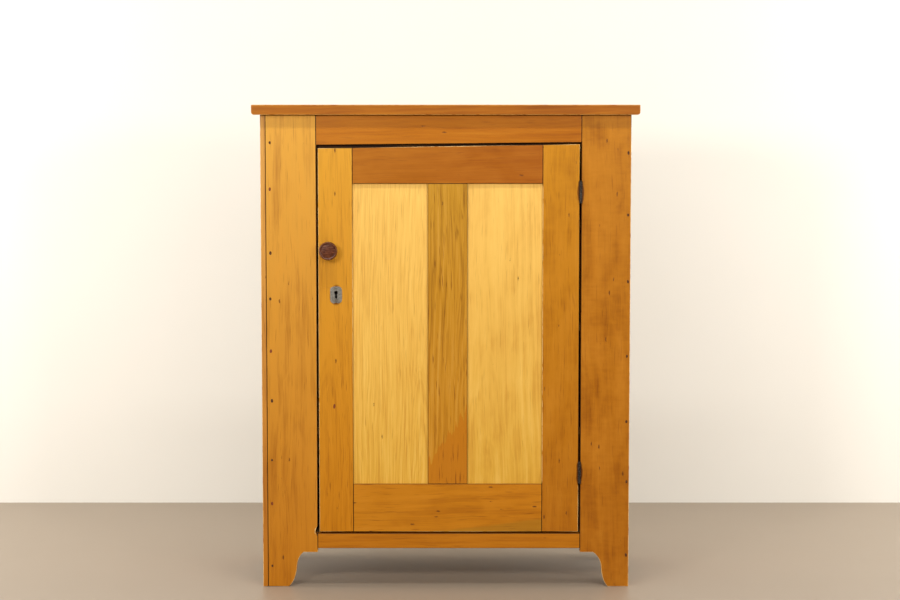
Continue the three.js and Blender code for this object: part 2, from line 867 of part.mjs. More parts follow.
function escutcheon() {
  const rim = slab("front", escutcheonOutline(0), [-escutcheonThickness, 0]);
  const raised = slab(
    "front",
    escutcheonOutline(escutcheonRim),
    [-escutcheonThickness - escutcheonRelief, -escutcheonThickness / 2],
  );
  return cut(fuse(rim, raised), ...keyholeTools(0, [-5, 1]), ...pinHoles);
}

add(door, "escutcheon", escutcheon(), greyIron);

// Each pin has a low domed head in front of the plate.
pinPlaces.forEach(([place, z]) => {
  const head = pinRadius + 0.9;
  const face = -escutcheonThickness - escutcheonRelief - metalGap;
  const profile = [
    [0, face - 1.1],
    [head * 0.6, face - 0.9],
    [head, face - 0.2],
    [head, face],
    [pinRadius, face],
    [pinRadius, pinLength - 2],
    [0, pinLength],
  ];
  const pin = turned(profile, 12).translate(keyholeX, 0, z);
  add(door, `escutcheon_${place}_pin`, pin, greyIron);
});

// ---- Rim lock ---------------------------------------------------------------------

const caseLeft = doorLeft + lockEdgeInset;
const caseRight = caseLeft + lockCaseWidth;
const caseLow = escutcheonZ - lockCaseHeight / 2;
const caseHigh = caseLow + lockCaseHeight;
const boltLow = keyholeZ + boltRise - boltHeight / 2;
const boltHigh = boltLow + boltHeight;
const boltFront = frameThickness + 1;
const boltBack = boltFront + boltThickness;

// A pressed iron case, open toward the door, with a slot for the bolt in its edge.
function lockCase() {
  const shell = block([caseLeft, caseRight], [frameThickness, lockCaseBack], [caseLow, caseHigh]);
  const inside = block(
    [caseLeft + lockSheet, caseRight - lockSheet],
    [frameThickness - 1, lockCaseBack - lockSheet],
    [caseLow + lockSheet, caseHigh - lockSheet],
  );
  const slot = block(
    [caseLeft - 1, caseLeft + lockSheet + 1],
    [frameThickness - 1, boltBack + boltGap],
    [boltLow - boltGap, boltHigh + boltGap],
  );
  const keyTip = bar("y", [lockCaseBack - 5, lockCaseBack + 1], 3, [keyholeX, 0, keyholeZ], 16);
  // Lugs that the bolt slides between.
  const lugDepth = [boltFront, lockCaseBack - lockSheet / 2];
  const lugAcross = [caseLeft + 12, caseRight - 12];
  const upperLug = block(lugAcross, lugDepth, [boltHigh + boltGap, caseHigh - lockSheet / 2]);
  const lowerLug = block([caseLeft + 12, keyholeX - 12], lugDepth, [boltLow - 3, boltLow - boltGap]);
  return fuse(cut(shell, inside, slot, keyTip), upperLug, lowerLug);
}

add(door, "lock_case", lockCase(), darkIron);

// The bolt is drawn back flush with the case, with a notch for the key's bit.
function lockBolt() {
  const body = block([caseLeft, caseLeft + boltLength], [boltFront, boltBack], [boltLow, boltHigh]);
  const notch = block(
    [keyholeX - 5, keyholeX + 5],
    [boltFront - 1, boltBack + 1],
    [boltLow - 1, boltLow + boltHeight * 0.45],
  );
  return cut(body, notch);
}

add(door, "lock_bolt", lockBolt(), darkIron);

// ---- Origin at the bottom centre of the whole cupboard ----------------------------

cupboard.position.y = -(bodyDepth - frontReach) / 2;

export default cupboard;
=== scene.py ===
# A farmhouse pantry cupboard in shellacked maple: a nailed face frame on scrolled feet,
# one framed and panelled door, a turned walnut knob, a tarnished keyhole plate and two
# iron butt hinges.
#
# Metres, +Z up. The door faces -Y and its hinges are at +X.

import json
import math
import random

import bmesh
import bpy
from mathutils import Matrix, Vector

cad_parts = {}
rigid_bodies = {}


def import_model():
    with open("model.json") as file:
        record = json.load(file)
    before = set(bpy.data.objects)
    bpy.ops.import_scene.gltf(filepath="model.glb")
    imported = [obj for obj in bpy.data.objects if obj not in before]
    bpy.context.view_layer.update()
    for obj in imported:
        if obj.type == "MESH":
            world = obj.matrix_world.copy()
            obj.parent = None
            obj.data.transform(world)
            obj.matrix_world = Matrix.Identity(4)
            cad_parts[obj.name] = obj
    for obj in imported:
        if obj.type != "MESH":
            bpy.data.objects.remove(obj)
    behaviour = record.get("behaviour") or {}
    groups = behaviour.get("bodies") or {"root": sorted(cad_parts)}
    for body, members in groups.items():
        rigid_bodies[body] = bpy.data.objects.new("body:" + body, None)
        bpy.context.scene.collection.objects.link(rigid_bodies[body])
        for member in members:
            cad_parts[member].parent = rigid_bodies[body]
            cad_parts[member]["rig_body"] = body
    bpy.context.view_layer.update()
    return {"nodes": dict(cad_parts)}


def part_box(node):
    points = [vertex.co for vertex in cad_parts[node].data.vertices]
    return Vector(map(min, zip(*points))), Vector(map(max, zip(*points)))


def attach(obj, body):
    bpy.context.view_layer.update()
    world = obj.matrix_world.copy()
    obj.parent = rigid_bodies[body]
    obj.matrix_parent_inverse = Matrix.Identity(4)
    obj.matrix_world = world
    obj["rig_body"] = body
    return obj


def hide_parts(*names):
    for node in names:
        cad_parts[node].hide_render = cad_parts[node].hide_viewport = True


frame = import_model()

MM = 0.001
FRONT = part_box("left_front_stile")[0].y  # front face of the face frame and of the door


# ---- Finishes: shared helpers -----------------------------------------------------


def linear(colour):
    """A linear RGBA colour from an sRGB hex value."""
    shares = [int(colour[i : i + 2], 16) / 255 for i in (1, 3, 5)]
    return [c / 12.92 if c <= 0.04045 else ((c + 0.055) / 1.055) ** 2.4 for c in shares] + [1.0]


def add(tree, kind, settings=None, inputs=None, stops=None):
    """Adds a node. An input is a value, or the output that feeds it, and stops are the places
    and colours of a ramp."""
    node = tree.nodes.new(kind)
    for name, value in (settings or {}).items():
        setattr(node, name, value)
    for place, colour in stops or []:
        ramp = node.color_ramp.elements
        stop = ramp[0] if place == stops[0][0] else ramp[-1] if place == stops[-1][0] else ramp.new(place)
        stop.position = place
        stop.color = linear(colour)
    for name, value in (inputs or {}).items():
        if isinstance(value, bpy.types.NodeSocket):
            tree.links.new(value, node.inputs[name])
        else:
            node.inputs[name].default_value = value
    return node


def empty_material(name):
    material = bpy.data.materials.new(name)
    material.use_nodes = True
    material.node_tree.nodes.clear()
    return material, material.node_tree


def nearest_mark(tree, place, marks, depth):
    """How far, in marks' own half sizes, a point is from the nearest of some oval marks on a front
    face. A mark is (place, half width, half height), with its half sizes in millimetres."""
    nearest = None
    for spot, half_width, half_height in marks:
        local = add(tree, "ShaderNodeMapping", {"vector_type": "TEXTURE"}, {
            "Vector": place,
            "Location": (spot.x, FRONT, spot.z),
            "Scale": (half_width * MM, depth, half_height * MM),
        })
        away = add(tree, "ShaderNodeVectorMath", {"operation": "LENGTH"}, {0: local.outputs[0]})
        nearest = away.outputs["Value"] if nearest is None else add(
            tree, "ShaderNodeMath", {"operation": "MINIMUM"}, {0: nearest, 1: away.outputs["Value"]}
        ).outputs[0]
    return nearest


def spot_on(node, across=0.5, up=0.5):
    """A place on the front of a piece: shares of its width from the left and of its height from below."""
    low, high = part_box(node)
    return Vector((low.x + (high.x - low.x) * across, FRONT, low.z + (high.z - low.z) * up))


# ---- Finishes: wood ---------------------------------------------------------------

TURNS = {"z": (0, 0, 0), "x": (0, -math.pi / 2, 0), "y": (math.pi / 2, 0, 0)}  # grain to z
GRAIN_WANDER = 22 * MM  # its outer limit, of which the noise seldom uses more than half
RING_FLARE = 0.03  # how fast the rings widen up the tree
PATCH_FADE = 9 * MM  # how uneven the edge of the dark marks round the metal is
DARK_MARK_WOBBLE = 6 * MM  # how uneven the edge of the dirt round metal is
KNOCK_CELL = (22 * MM, 22 * MM, 70 * MM)  # longest along the grain
KNOCK_RAGGED = (3.6 * MM, 3.6 * MM, 6 * MM)


def wood(
    name, node, tones, along="z", seed=0.0,
    rings=0.6, ring_gap=7, pith=(60, 90),
    streaks=0.6, streak_width=11, fibres=0.5, flecks=0.4,
    clouds=0.5, cloud_size=110, curl=0.0, curl_gap=12,
    dark="#A06C28", pale="#DC9428", paleness=0.3,
    knocks=0.3, dirt_and_shadow_marks=(), patch=None,
    sheen=(0.34, 0.48), coat=0.06, worn="#EEC884",
):
    """Sawn boards, planed by hand. Growth rings, soft streaks, fine fibres and short dark
    flecks run along the grain, clouds and curl lie across it, and one tone fades to the
    next from the board's lower, left or front end to its other end. Each amount says how
    strongly that part of the figure moves the wood between its dark and its light tone.
    Widths, gaps and sizes are in millimetres."""
    material, tree = empty_material(name)
    low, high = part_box(node)
    middle = (low + high) / 2
    length = max(high - low)
    turn = Matrix.Rotation(TURNS[along][0], 3, "X") @ Matrix.Rotation(TURNS[along][1], 3, "Y")

    here = add(tree, "ShaderNodeTexCoord").outputs["Object"]
    # Centred on the board and turned so that the grain runs up its own z.
    centred = add(tree, "ShaderNodeMapping", None, {
        "Vector": here, "Location": -(turn @ middle), "Rotation": TURNS[along],
    }).outputs[0]
    up = add(tree, "ShaderNodeSeparateXYZ", None, {0: centred}).outputs["Z"]
    offset = (seed * 1.7, seed * 0.9, seed * 2.3)  # gives each board its own stretch of wood
    place = add(tree, "ShaderNodeVectorMath", {"operation": "ADD"}, {0: centred, 1: offset}).outputs[0]

    # Nothing in a tree is dead straight: the grain wanders sideways by about 10 mm.
    bend = add(tree, "ShaderNodeMapping", None, {"Vector": place, "Scale": (7, 7, 3)}).outputs[0]
    bend = add(tree, "ShaderNodeTexNoise", None, {"Vector": bend, "Scale": 1, "Detail": 2}).outputs["Color"]
    grain = add(tree, "ShaderNodeVectorMath", {"operation": "MULTIPLY_ADD"}, {
        0: bend, 1: (GRAIN_WANDER, GRAIN_WANDER, 0), 2: place,
    }).outputs[0]

    # Growth rings are cones round the pith, which runs beside and behind the board.
    beside, behind = pith
    radius = add(tree, "ShaderNodeMapping", None, {
        "Vector": grain,
        "Location": (beside * MM - offset[0], behind * MM - offset[1], 0),
        "Scale": (1, 1, 0),
    }).outputs[0]
    radius = add(tree, "ShaderNodeVectorMath", {"operation": "LENGTH"}, {0: radius}).outputs["Value"]
    radius = add(tree, "ShaderNodeMath", {"operation": "MULTIPLY_ADD"}, {
        0: up, 1: RING_FLARE, 2: radius,
    }).outputs[0]
    radius = add(tree, "ShaderNodeMath", {"operation": "MULTIPLY"}, {
        0: radius, 1: 1 / (ring_gap * MM),
    }).outputs[0]
    ring_lines = add(tree, "ShaderNodeTexNoise", {"noise_dimensions": "1D"}, {
        "W": radius, "Scale": 1, "Detail": 3, "Roughness": 0.6,
    }).outputs[0]

    # (amount, width, length, detail) of each layer of noise along or across the grain.
    layers = {
        "streaks": (streaks, streak_width, streak_width * 26, 3),
        "fibres": (fibres, 2.8, 190, 2),  # drawn coarser than life, to show
        "clouds": (clouds, cloud_size, cloud_size * 2.2, 3),
        "curl": (curl, curl_gap * 4, curl_gap, 2),
    }
    amounts = rings + sum(layer[0] for layer in layers.values())
    tone = add(tree, "ShaderNodeMath", {"operation": "MULTIPLY_ADD"}, {
        0: ring_lines, 1: rings, 2: 0.5 - amounts / 2,
    }).outputs[0]
    noises = {}
    for layer, (amount, width, run, detail) in layers.items():
        if not amount:
            continue
        scaled = add(tree, "ShaderNodeMapping", None, {
            "Vector": grain, "Scale": (1 / (width * MM), 1 / (width * MM), 1 / (run * MM)),
        }).outputs[0]
        noises[layer] = add(tree, "ShaderNodeTexNoise", None, {
            "Vector": scaled, "Scale": 1, "Detail": detail, "Roughness": 0.55, "Distortion": 0.3,
        }).outputs[0]
        tone = add(tree, "ShaderNodeMath", {"operation": "MULTIPLY_ADD"}, {
            0: noises[layer], 1: amount, 2: tone,
        }).outputs[0]

    # Colours from one end of the board to the other. On the upright boards in front the lower end is darker,
    # partly the wood's own colour and partly painted shade for the light falling off towards the floor.
    share = add(tree, "ShaderNodeMapRange", None, {
        "Value": up, "From Min": -length / 2, "From Max": length / 2,
    }).outputs[0]
    step = 1 / (len(tones) - 1)
    colour = add(tree, "ShaderNodeValToRGB", None, {"Fac": share}, [
        (index * step, tone_here) for index, tone_here in enumerate(tones)
    ]).outputs[0]

    if patch:
        # A part of the board that is another kind of wood, behind a ragged slanting edge:
        # a point on that edge, its slope, its raggedness, colour and strength.
        edge_point, slope, ragged, patch_colour, strength = patch
        rough = add(tree, "ShaderNodeMapping", None, {"Vector": grain, "Scale": (120, 120, 14)}).outputs[0]
        rough = add(tree, "ShaderNodeTexNoise", None, {"Vector": rough, "Scale": 1, "Detail": 3}).outputs[0]
        line = add(tree, "ShaderNodeVectorMath", {"operation": "DOT_PRODUCT"}, {
            0: here, 1: (slope, 0, -1),
        }).outputs["Value"]
        line = add(tree, "ShaderNodeMath", {"operation": "MULTIPLY_ADD"}, {
            0: rough, 1: ragged * MM, 2: line,
        }).outputs[0]
        start = slope * edge_point.x - edge_point.z + ragged / 2 * MM
        patch_mask = add(tree, "ShaderNodeMapRange", {"interpolation_type": "SMOOTHSTEP"}, {
            "Value": line, "From Min": start, "From Max": start + PATCH_FADE, "To Max": strength,
        }).outputs[0]
        colour = add(tree, "ShaderNodeMix", {"data_type": "RGBA"}, {
            "Factor": patch_mask, 6: colour, 7: linear(patch_colour),
        }).outputs[2]
        # The figure is calmer there.
        tone = add(tree, "ShaderNodeMix", None, {
            "Factor": patch_mask, "A": tone, "B": 0.47,
        }).outputs[0]

    darkness = add(tree, "ShaderNodeMapRange", None, {
        "Value": tone, "From Min": 0.5, "From Max": 0.0, "To Max": 0.6,
    }).outputs[0]
    colour = add(tree, "ShaderNodeMix", {"data_type": "RGBA", "blend_type": "MULTIPLY"}, {
        "Factor": darkness, 6: colour, 7: linear(dark),
    }).outputs[2]
    lightness = add(tree, "ShaderNodeMapRange", None, {
        "Value": tone, "From Min": 0.5, "From Max": 1.0, "To Max": paleness,
    }).outputs[0]
    colour = add(tree, "ShaderNodeMix", {"data_type": "RGBA"}, {
        "Factor": lightness, 6: colour, 7: linear(pale),
    }).outputs[2]

    if flecks:
        # Short dark dashes where pores were cut through.
        scaled = add(tree, "ShaderNodeMapping", None, {"Vector": grain, "Scale": (330, 330, 15)}).outputs[0]
        dashes = add(tree, "ShaderNodeTexNoise", None, {
            "Vector": scaled, "Scale": 1, "Detail": 1,
        }).outputs[0]
        dashes = add(tree, "ShaderNodeMapRange", None, {
            "Value": dashes, "From Min": 0.64, "From Max": 0.76, "To Max": flecks,
        }).outputs[0]
        colour = add(tree, "ShaderNodeMix", {"data_type": "RGBA", "blend_type": "MULTIPLY"}, {
            "Factor": dashes, 6: colour, 7: linear("#8A5A2C"),
        }).outputs[2]

    if dirt_and_shadow_marks:
        # Dark marks round the metal, through the board's whole thickness: old dirt and polish with painted
        # shadow beside the hinges, and a dark ring round the keyhole plate.
        soft = add(tree, "ShaderNodeTexNoise", None, {
            "Vector": here, "Scale": 38, "Detail": 3,
        }).outputs["Color"]
        soft = add(tree, "ShaderNodeVectorMath", {"operation": "MULTIPLY_ADD"}, {
            0: soft, 1: (DARK_MARK_WOBBLE, 0, DARK_MARK_WOBBLE), 2: here,
        }).outputs[0]
        soft = add(tree, "ShaderNodeVectorMath", {"operation": "SUBTRACT"}, {
            0: soft, 1: (DARK_MARK_WOBBLE / 2, 0, DARK_MARK_WOBBLE / 2),
        }).outputs[0]
        blotch = add(tree, "ShaderNodeMapRange", {"interpolation_type": "SMOOTHSTEP"}, {
            "Value": nearest_mark(tree, soft, dirt_and_shadow_marks, 30 * MM),
            "From Min": 1.2, "From Max": 0.9, "To Max": 0.8,
        }).outputs[0]
        colour = add(tree, "ShaderNodeMix", {"data_type": "RGBA", "blend_type": "MULTIPLY"}, {
            "Factor": blotch, 6: colour, 7: linear("#7C5834"),
        }).outputs[2]

    height = add(tree, "ShaderNodeMath", {"operation": "MULTIPLY"}, {0: tone, 1: 0.12}).outputs[0]
    # A plane iron leaves shallow hollows that show only where light glances off them.
    hollows = add(tree, "ShaderNodeTexNoise", None, {"Vector": place, "Scale": 16, "Detail": 1}).outputs[0]
    height = add(tree, "ShaderNodeMath", {"operation": "MULTIPLY_ADD"}, {
        0: hollows, 1: 0.9, 2: height,
    }).outputs[0]

    # Knocks and small checks, longer along the grain and filled with old dirt. The amount of
    # them is the share of the pattern's cells that may hold one.
    jagged = add(tree, "ShaderNodeTexNoise", None, {
        "Vector": place, "Scale": 240, "Detail": 2,
    }).outputs["Color"]
    jagged = add(tree, "ShaderNodeVectorMath", {"operation": "MULTIPLY_ADD"}, {
        0: jagged, 1: KNOCK_RAGGED, 2: place,
    }).outputs[0]
    cells = add(tree, "ShaderNodeMapping", None, {
        "Vector": jagged, "Scale": [1 / side for side in KNOCK_CELL],
    }).outputs[0]
    cells = add(tree, "ShaderNodeTexVoronoi", None, {"Vector": cells, "Scale": 1}).outputs
    pick = add(tree, "ShaderNodeSeparateXYZ", None, {0: cells["Color"]}).outputs["X"]
    pick = add(tree, "ShaderNodeMath", {"operation": "LESS_THAN"}, {0: pick, 1: knocks}).outputs[0]
    near = add(tree, "ShaderNodeMapRange", {"interpolation_type": "SMOOTHSTEP"}, {
        "Value": cells["Distance"], "From Min": 0.12, "From Max": 0.05, "To Max": 0.85,
    }).outputs[0]
    knock = add(tree, "ShaderNodeMath", {"operation": "MULTIPLY"}, {0: near, 1: pick}).outputs[0]
    colour = add(tree, "ShaderNodeMix", {"data_type": "RGBA"}, {
        "Factor": knock, 6: colour, 7: linear("#5A2C0C"),
    }).outputs[2]
    height = add(tree, "ShaderNodeMath", {"operation": "MULTIPLY_ADD"}, {
        0: knock, 1: -1.0, 2: height,
    }).outputs[0]

    # Free arrises are rubbed pale in patches, and joints hold dark dirt.
    patchy = add(tree, "ShaderNodeTexNoise", None, {"Vector": here, "Scale": 55, "Detail": 3}).outputs[0]
    patchy = add(tree, "ShaderNodeMapRange", None, {
        "Value": patchy, "From Min": 0.3, "From Max": 0.52,
    }).outputs[0]
    rubbed = add(tree, "ShaderNodeAttribute", {"attribute_name": "rubbed"}).outputs["Fac"]
    rubbed = add(tree, "ShaderNodeMath", {"operation": "MULTIPLY"}, {0: rubbed, 1: patchy}).outputs[0]
    colour = add(tree, "ShaderNodeMix", {"data_type": "RGBA"}, {
        "Factor": rubbed, 6: colour, 7: linear(worn),
    }).outputs[2]
    dirt = add(tree, "ShaderNodeAttribute", {"attribute_name": "dirt"}).outputs["Fac"]
    colour = add(tree, "ShaderNodeMix", {"data_type": "RGBA"}, {
        "Factor": dirt, 6: colour, 7: linear("#241206"),
    }).outputs[2]

    smoothness = add(tree, "ShaderNodeMapRange", None, {
        "Value": noises.get("clouds", tone),
        "From Min": 0.3, "From Max": 0.7, "To Min": sheen[0], "To Max": sheen[1],
    }).outputs[0]
    relief = add(tree, "ShaderNodeBump", None, {
        "Height": height, "Distance": 0.6 * MM, "Strength": 0.5,
    }).outputs[0]
    shader = add(tree, "ShaderNodeBsdfPrincipled", None, {
        "Base Color": colour, "Roughness": smoothness, "Normal": relief,
        "IOR": 1.45, "Specular IOR Level": 0.18, "Coat Weight": coat, "Coat Roughness": 0.22,
    })
    add(tree, "ShaderNodeOutputMaterial", None, {"Surface": shader.outputs[0]})
    return material


# ---- Finishes: metal and the turned knob ------------------------------------------


def old_metal(name, bright, tarnish, rust, grain_size=1.6, roughness=(0.38, 0.62)):
    """Cast or pressed metal that has gone dull: rubbed edges are bright, and tarnish and rust lie
    in blotches. The grain of the tarnish is in millimetres."""
    material, tree = empty_material(name)
    here = add(tree, "ShaderNodeTexCoord").outputs["Object"]
    mottle = add(tree, "ShaderNodeTexNoise", None, {
        "Vector": here, "Scale": 1 / (grain_size * 2 * MM), "Detail": 4, "Roughness": 0.65,
    }).outputs[0]
    spread = add(tree, "ShaderNodeTexNoise", None, {
        "Vector": here, "Scale": 1 / (grain_size * 7 * MM), "Detail": 3,
    }).outputs[0]
    colour = add(tree, "ShaderNodeValToRGB", None, {"Fac": mottle}, [
        (0.36, tarnish), (0.66, bright),
    ]).outputs[0]
    rusty = add(tree, "ShaderNodeMapRange", None, {
        "Value": spread, "From Min": 0.45, "From Max": 0.65, "To Max": 0.5,
    }).outputs[0]
    colour = add(tree, "ShaderNodeMix", {"data_type": "RGBA"}, {
        "Factor": rusty, 6: colour, 7: linear(rust),
    }).outputs[2]
    rubbed = add(tree, "ShaderNodeAttribute", {"attribute_name": "rubbed"}).outputs["Fac"]
    colour = add(tree, "ShaderNodeMix", {"data_type": "RGBA"}, {
        "Factor": rubbed, 6: colour, 7: linear(bright),
    }).outputs[2]
    dull = add(tree, "ShaderNodeMapRange", None, {
        "Value": mottle, "From Min": 0.3, "From Max": 0.7, "To Min": roughness[1], "To Max": roughness[0],
    }).outputs[0]
    relief = add(tree, "ShaderNodeBump", None, {
        "Height": mottle, "Distance": 0.15 * MM, "Strength": 0.6,
    }).outputs[0]
    shader = add(tree, "ShaderNodeBsdfPrincipled", None, {
        "Base Color": colour, "Roughness": dull, "Normal": relief, "Metallic": 0.85,
    })
    add(tree, "ShaderNodeOutputMaterial", None, {"Surface": shader.outputs[0]})
    return material


def turned_walnut(name, node):
    """Walnut turned on a lathe, dark with handling. The grain runs across the face, the rim is rubbed
    to a lighter red-brown, and wax and dirt sit in the groove inside the rim."""
    material, tree = empty_material(name)
    low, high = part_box(node)
    axis = Vector(((low.x + high.x) / 2, 0, (low.z + high.z) / 2))
    rim = (high.x - low.x) / 2
    here = add(tree, "ShaderNodeTexCoord").outputs["Object"]
    centred = add(tree, "ShaderNodeMapping", None, {"Vector": here, "Location": -axis}).outputs[0]
    stretched = add(tree, "ShaderNodeMapping", None, {
        "Vector": centred, "Rotation": (0, math.radians(24), 0), "Scale": (110, 420, 520),
    }).outputs[0]
    figure = add(tree, "ShaderNodeTexNoise", None, {
        "Vector": stretched, "Scale": 1, "Detail": 4, "Roughness": 0.6,
    }).outputs[0]
    colour = add(tree, "ShaderNodeValToRGB", None, {"Fac": figure}, [
        (0.3, "#2C1206"), (0.5, "#54240A"), (0.7, "#784014"),
    ]).outputs[0]
    flat = add(tree, "ShaderNodeMapping", None, {
        "Vector": centred, "Scale": (1 / rim, 0, 1 / rim),
    }).outputs[0]
    out = add(tree, "ShaderNodeVectorMath", {"operation": "LENGTH"}, {0: flat}).outputs["Value"]
    handling = add(tree, "ShaderNodeValToRGB", None, {"Fac": out}, [
        (0.0, "#202020"), (0.7, "#000000"), (0.82, "#3A3A3A"),
        (0.88, "#A8A8A8"), (0.94, "#6A6A6A"), (1.0, "#202020"),
    ]).outputs[0]
    colour = add(tree, "ShaderNodeMix", {"data_type": "RGBA"}, {
        "Factor": handling, 6: colour, 7: linear("#7E4420"),
    }).outputs[2]
    groove = add(tree, "ShaderNodeValToRGB", None, {"Fac": out}, [
        (0.0, "#000000"), (0.66, "#000000"), (0.78, "#A8A8A8"), (0.84, "#000000"), (1.0, "#000000"),
    ]).outputs[0]
    colour = add(tree, "ShaderNodeMix", {"data_type": "RGBA"}, {
        "Factor": groove, 6: colour, 7: linear("#2A120A"),
    }).outputs[2]
    dull = add(tree, "ShaderNodeMapRange", None, {
        "Value": figure, "From Min": 0.3, "From Max": 0.7, "To Min": 0.2, "To Max": 0.36,
    }).outputs[0]
    relief = add(tree, "ShaderNodeBump", None, {
        "Height": figure, "Distance": 0.2 * MM, "Strength": 0.5,
    }).outputs[0]
    shader = add(tree, "ShaderNodeBsdfPrincipled", None, {
        "Base Color": colour, "Roughness": dull, "Normal": relief, "IOR": 1.45, "Specular IOR Level": 0.55,
    })
    add(tree, "ShaderNodeOutputMaterial", None, {"Surface": shader.outputs[0]})
    return material


# ---- Pieces: shared helpers -------------------------------------------------------

MERGED = 0.01 * MM  # points closer than this are one
TOUCHING = 0.4 * MM  # pieces closer than this meet
ARRIS = math.radians(40)  # an edge that turns more than this is an arris


def in_order(bm):
    """Numbers the points, edges and faces by where they lie, so that every run makes the same mesh."""
    places = (
        (bm.verts, lambda vert: vert.co),
        (bm.edges, lambda edge: edge.verts[0].co + edge.verts[1].co),
        (bm.faces, lambda face: face.calc_center_median()),
    )
    for items, place in places:
        ranked = sorted(items, key=lambda item: tuple(round(part, 7) for part in place(item)))
        for rank, item in enumerate(ranked):
            item.index = rank
        items.sort()


def finished(bm, name, material, body, replaced=()):
    """Turns a bmesh into a piece of the cupboard that rides on a body."""
    mesh = bpy.data.meshes.new(name)
    bm.to_mesh(mesh)
    bm.free()
    mesh.shade_smooth()
    mesh.set_sharp_from_angle(angle=ARRIS)
    mesh.materials.append(material)
    piece = bpy.data.objects.new(name, mesh)
    bpy.context.scene.collection.objects.link(piece)
    flat = piece.modifiers.new("flat_faces", "WEIGHTED_NORMAL")
    flat.keep_sharp = True
    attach(piece, body)
    if replaced:
        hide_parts(*replaced)
    return piece


def gap_between(point, low, high):
    """How far a point is from a box."""
    return math.sqrt(sum(max(low[i] - point[i], 0, point[i] - high[i]) ** 2 for i in range(3)))


def eased(node, material, ease=1.5 * MM, chip=None):
    """A copy of a CAD piece with its arrises eased by wear. Arrises that meet a piece of the same
    body are marked for dirt, and the others as rubbed. A chip, in the right-hand arris, is its
    height above the floor, its length and its depth."""
    body = frame["nodes"][node]["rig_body"]
    low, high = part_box(node)
    size = high - low
    long_way = max(range(3), key=lambda i: size[i])
    neighbours = []
    for other, thing in frame["nodes"].items():
        other_low, other_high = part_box(other)
        touches = all(
            other_low[i] <= high[i] + TOUCHING and other_high[i] >= low[i] - TOUCHING for i in range(3)
        )
        if other != node and thing["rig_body"] == body and touches:
            neighbours.append((other_low, other_high))

    bm = bmesh.new()
    bm.from_mesh(frame["nodes"][node].data)
    bmesh.ops.remove_doubles(bm, verts=bm.verts, dist=MERGED)
    bmesh.ops.dissolve_limit(bm, angle_limit=math.radians(0.6), verts=bm.verts, edges=bm.edges)

    # Divide the long arrises where neighbours start and end, and at the chip.
    cuts = [corner[long_way] for box in neighbours for corner in box]
    if chip:
        chip_z, chip_length, chip_depth = chip
        cuts += [chip_z + chip_length * share for share in (-0.5, -0.2, 0.15, 0.5)]
    direction = Vector([1.0 if i == long_way else 0.0 for i in range(3)])
    for cut in sorted(set(round(value, 5) for value in cuts)):
        if low[long_way] + 4 * MM < cut < high[long_way] - 4 * MM:
            bmesh.ops.bisect_plane(
                bm, geom=bm.verts[:] + bm.edges[:] + bm.faces[:], dist=0.001 * MM,
                plane_co=direction * cut, plane_no=direction,
            )
    if chip:
        for vert in bm.verts:
            from_middle = abs(vert.co.z - chip_z) / (chip_length / 2)
            if vert.co.x > high.x - 0.1 * MM and from_middle < 0.6:
                vert.co.x -= chip_depth

    sharp = [
        edge for edge in bm.edges
        if len(edge.link_faces) == 2 and edge.is_convex and edge.calc_face_angle() > ARRIS
    ]
    made = bmesh.ops.bevel(
        bm, geom=sharp, offset=ease, offset_type="OFFSET", segments=3, profile=0.5,
        affect="EDGES", clamp_overlap=False, material=-1,
    )
    rounded = set(made["faces"])
    rubbed = bm.verts.layers.float.new("rubbed")
    dirt = bm.verts.layers.float.new("dirt")
    for vert in bm.verts:
        if vert.link_faces and all(face in rounded for face in vert.link_faces):
            joint = any(gap_between(vert.co, *box) < ease * 1.4 for box in neighbours)
            vert[dirt if joint else rubbed] = 1.0
    return finished(bm, node + "_eased", material, body, [node])


# ---- Face frame, sides and top ----------------------------------------------------

# Old dirt and painted shadow on the wood beside each hinge.
HINGE_DIRT_AND_SHADOW = [(spot_on(place + "_hinge_pin"), 8, 31) for place in ("upper", "lower")]

# The lower tone of each upright board is the darker one: partly the wood's own colour, partly painted shade
# for the light falling off towards the floor.
# Honey maple under old shellac: light, even, with soft upright streaks.
left_stile_finish = wood(
    "honey_maple_left_stile", "left_front_stile", ("#B87010", "#D49A38"), seed=1.3,
    rings=0.5, ring_gap=10, pith=(-20, 120), streaks=0.7, streak_width=14,
    flecks=0.3, clouds=0.7, cloud_size=90, knocks=0.42,
)
# Sawn from the same stock as the stile. Its front edge shows as a strip beside it.
left_side_finish = wood(
    "honey_maple_left_side", "left_side", ("#B06814", "#D09848"), seed=4.1,
    rings=0.7, ring_gap=9, streaks=0.8, clouds=0.6,
)
# Amber maple with curl and blotches that took the stain unevenly.
right_stile_finish = wood(
    "curly_maple_right_stile", "right_front_stile", ("#A8620A", "#B27010"), seed=7.7,
    rings=0.3, streaks=0.4, streak_width=18, fibres=0.3, flecks=0.3,
    clouds=1.3, cloud_size=52, curl=0.4, curl_gap=9,
    pale="#CC8420", paleness=0.5, knocks=0.55, dirt_and_shadow_marks=HINGE_DIRT_AND_SHADOW,
)
right_side_finish = wood(
    "amber_maple_right_side", "right_side", ("#A8620A", "#B27010"), seed=2.9,
    rings=0.8, ring_gap=10, streaks=0.8, clouds=0.8,
)
